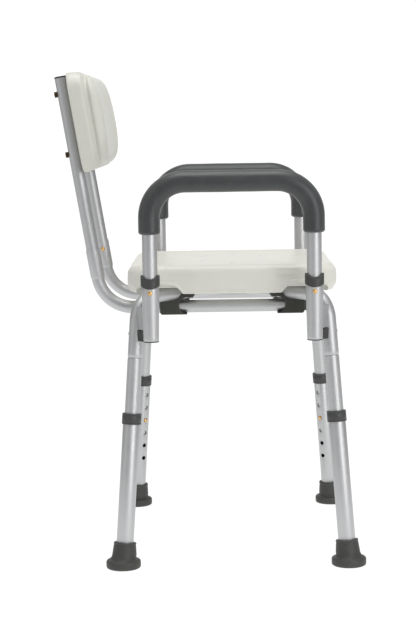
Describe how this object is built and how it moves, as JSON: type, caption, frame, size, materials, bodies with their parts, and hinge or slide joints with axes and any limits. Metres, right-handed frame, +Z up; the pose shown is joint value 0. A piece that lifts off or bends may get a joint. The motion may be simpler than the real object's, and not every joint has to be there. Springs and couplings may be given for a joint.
{
  "type": "shower chair",
  "caption": "Height-adjustable shower chair with a moulded seat, a backrest on bent tubes, padded arm loops, telescopic legs and rubber feet.",
  "frame": {"origin": "on the floor, under the middle of the overall footprint", "axes": "+Z up, -Y forward (the way the sitter faces), +X to the sitter's left"},
  "size_m": [0.5466, 0.5203, 0.8357],
  "materials": {
    "tube_aluminium": "satin anodised tube",
    "button_brass": "brass plated snap button",
    "spring_steel": "spring strip",
    "foot_rubber": "moulded dark grey rubber",
    "grey_plastic": "moulded dark grey plastic",
    "bracket_plastic": "moulded dark olive grey plastic",
    "foam": "closed-cell foam with a smooth skin",
    "seat_plastic": "blow-moulded warm white plastic, fine grain",
    "cap_plastic": "black end cap",
    "washer_rubber": "black rubber washer",
    "bolt_brass": "dark brass plated bolt",
    "zinc_steel": "zinc plated"
  },
  "bodies": {
    "frame": {"frame_tube_a": "tube_aluminium", "frame_tube_b": "tube_aluminium", "centre_bolt": "zinc_steel", "rear_right_inner_leg": "tube_aluminium", "rear_left_inner_leg": "tube_aluminium", "front_right_inner_leg": "tube_aluminium", "front_left_inner_leg": "tube_aluminium", "leg_springs": "spring_steel", "rear_right_arm_socket": "tube_aluminium", "rear_left_arm_socket": "tube_aluminium", "front_right_arm_socket": "tube_aluminium", "front_left_arm_socket": "tube_aluminium", "socket_collars": "grey_plastic", "socket_plugs": "grey_plastic", "socket_gussets": "tube_aluminium", "socket_bolts": "zinc_steel", "rear_brackets": "bracket_plastic", "front_brackets": "bracket_plastic", "bracket_screws": "zinc_steel", "seat": "seat_plastic"},
    "rear_right_lower_leg": {"rear_right_outer_leg": "tube_aluminium", "rear_right_leg_collar": "grey_plastic", "rear_right_foot": "foot_rubber"},
    "rear_right_leg_button": {"rear_right_leg_button": "button_brass"},
    "rear_left_lower_leg": {"rear_left_outer_leg": "tube_aluminium", "rear_left_leg_collar": "grey_plastic", "rear_left_foot": "foot_rubber"},
    "rear_left_leg_button": {"rear_left_leg_button": "button_brass"},
    "front_right_lower_leg": {"front_right_outer_leg": "tube_aluminium", "front_right_leg_collar": "grey_plastic", "front_right_foot": "foot_rubber"},
    "front_right_leg_button": {"front_right_leg_button": "button_brass"},
    "front_left_lower_leg": {"front_left_outer_leg": "tube_aluminium", "front_left_leg_collar": "grey_plastic", "front_left_foot": "foot_rubber"},
    "front_left_leg_button": {"front_left_leg_button": "button_brass"},
    "right_arm": {"right_arm_tube": "tube_aluminium", "right_arm_pad": "foam", "right_arm_springs": "spring_steel"},
    "rear_right_arm_button": {"rear_right_arm_button": "button_brass"},
    "front_right_arm_button": {"front_right_arm_button": "button_brass"},
    "left_arm": {"left_arm_tube": "tube_aluminium", "left_arm_pad": "foam", "left_arm_springs": "spring_steel"},
    "rear_left_arm_button": {"rear_left_arm_button": "button_brass"},
    "front_left_arm_button": {"front_left_arm_button": "button_brass"},
    "lower_back": {"right_lower_back_tube": "tube_aluminium", "left_lower_back_tube": "tube_aluminium", "rail_springs": "spring_steel"},
    "upper_back": {"right_upper_back_tube": "tube_aluminium", "left_upper_back_tube": "tube_aluminium", "back_tube_caps": "cap_plastic", "backrest": "seat_plastic", "backrest_bolts": "bolt_brass", "backrest_washers": "washer_rubber", "back_springs": "spring_steel"},
    "right_rail_button": {"right_rail_button": "button_brass"},
    "right_back_button": {"right_back_button": "button_brass"},
    "left_rail_button": {"left_rail_button": "button_brass"},
    "left_back_button": {"left_back_button": "button_brass"}
  },
  "joints": [
    {"name": "rear_right_leg_height", "type": "slide", "parent": "frame", "child": "rear_right_lower_leg", "axis": [-0.0883, 0.069, -0.9937], "range_m": [-0.0762, 0.0508], "deforming": ["rear_right_leg_button"]},
    {"name": "rear_right_leg_button_press", "type": "slide", "parent": "frame", "child": "rear_right_leg_button", "axis": [-0.7833, 0.6115, 0.1121], "range_m": [0, 0.004], "stiffness_N_per_m": 400, "springref_m": -0.004, "deforming": ["leg_springs"]},
    {"name": "rear_left_leg_height", "type": "slide", "parent": "frame", "child": "rear_left_lower_leg", "axis": [0.0883, 0.069, -0.9937], "range_m": [-0.0762, 0.0508], "deforming": ["rear_left_leg_button"]},
    {"name": "rear_left_leg_button_press", "type": "slide", "parent": "frame", "child": "rear_left_leg_button", "axis": [0.7833, 0.6115, 0.1121], "range_m": [0, 0.004], "stiffness_N_per_m": 400, "springref_m": -0.004, "deforming": ["leg_springs"]},
    {"name": "front_right_leg_height", "type": "slide", "parent": "frame", "child": "front_right_lower_leg", "axis": [-0.0883, -0.069, -0.9937], "range_m": [-0.0762, 0.0508], "deforming": ["front_right_leg_button"]},
    {"name": "front_right_leg_button_press", "type": "slide", "parent": "frame", "child": "front_right_leg_button", "axis": [-0.7833, -0.6115, 0.1121], "range_m": [0, 0.004], "stiffness_N_per_m": 400, "springref_m": -0.004, "deforming": ["leg_springs"]},
    {"name": "front_left_leg_height", "type": "slide", "parent": "frame", "child": "front_left_lower_leg", "axis": [0.0883, -0.069, -0.9937], "range_m": [-0.0762, 0.0508], "deforming": ["front_left_leg_button"]},
    {"name": "front_left_leg_button_press", "type": "slide", "parent": "frame", "child": "front_left_leg_button", "axis": [0.7833, -0.6115, 0.1121], "range_m": [0, 0.004], "stiffness_N_per_m": 400, "springref_m": -0.004, "deforming": ["leg_springs"]},
    {"name": "right_arm_lift", "type": "slide", "parent": "frame", "child": "right_arm", "axis": [0, 0, 1], "range_m": [0, 0.08], "deforming": ["rear_right_arm_button", "front_right_arm_button"]},
    {"name": "rear_right_arm_button_press", "type": "slide", "parent": "right_arm", "child": "rear_right_arm_button", "axis": [1, 0, 0], "range_m": [0, 0.0038], "stiffness_N_per_m": 400, "springref_m": -0.004, "deforming": ["right_arm_springs"]},
    {"name": "front_right_arm_button_press", "type": "slide", "parent": "right_arm", "child": "front_right_arm_button", "axis": [1, 0, 0], "range_m": [0, 0.0038], "stiffness_N_per_m": 400, "springref_m": -0.004, "deforming": ["right_arm_springs"]},
    {"name": "left_arm_lift", "type": "slide", "parent": "frame", "child": "left_arm", "axis": [0, 0, 1], "range_m": [0, 0.08], "deforming": ["rear_left_arm_button", "front_left_arm_button"]},
    {"name": "rear_left_arm_button_press", "type": "slide", "parent": "left_arm", "child": "rear_left_arm_button", "axis": [-1, 0, 0], "range_m": [0, 0.0038], "stiffness_N_per_m": 400, "springref_m": -0.004, "deforming": ["left_arm_springs"]},
    {"name": "front_left_arm_button_press", "type": "slide", "parent": "left_arm", "child": "front_left_arm_button", "axis": [-1, 0, 0], "range_m": [0, 0.0038], "stiffness_N_per_m": 400, "springref_m": -0.004, "deforming": ["left_arm_springs"]},
    {"name": "back_pull_out", "type": "slide", "parent": "frame", "child": "lower_back", "axis": [0, 1, 0], "range_m": [0, 0.25], "deforming": ["right_rail_button", "left_rail_button"]},
    {"name": "backrest_lift", "type": "slide", "parent": "lower_back", "child": "upper_back", "axis": [0, 0.1604, 0.9871], "range_m": [0, 0.05], "deforming": ["right_back_button", "left_back_button"]},
    {"name": "right_rail_button_press", "type": "slide", "parent": "lower_back", "child": "right_rail_button", "axis": [0, 0, 1], "range_m": [0, 0.0037], "stiffness_N_per_m": 400, "springref_m": -0.004, "deforming": ["rail_springs"]},
    {"name": "right_back_button_press", "type": "slide", "parent": "upper_back", "child": "right_back_button", "axis": [-1, 0, 0], "range_m": [0, 0.0035], "stiffness_N_per_m": 400, "springref_m": -0.004, "deforming": ["back_springs"]},
    {"name": "left_rail_button_press", "type": "slide", "parent": "lower_back", "child": "left_rail_button", "axis": [0, 0, 1], "range_m": [0, 0.0037], "stiffness_N_per_m": 400, "springref_m": -0.004, "deforming": ["rail_springs"]},
    {"name": "left_back_button_press", "type": "slide", "parent": "upper_back", "child": "left_back_button", "axis": [1, 0, 0], "range_m": [0, 0.0035], "stiffness_N_per_m": 400, "springref_m": -0.004, "deforming": ["back_springs"]}
  ]
}
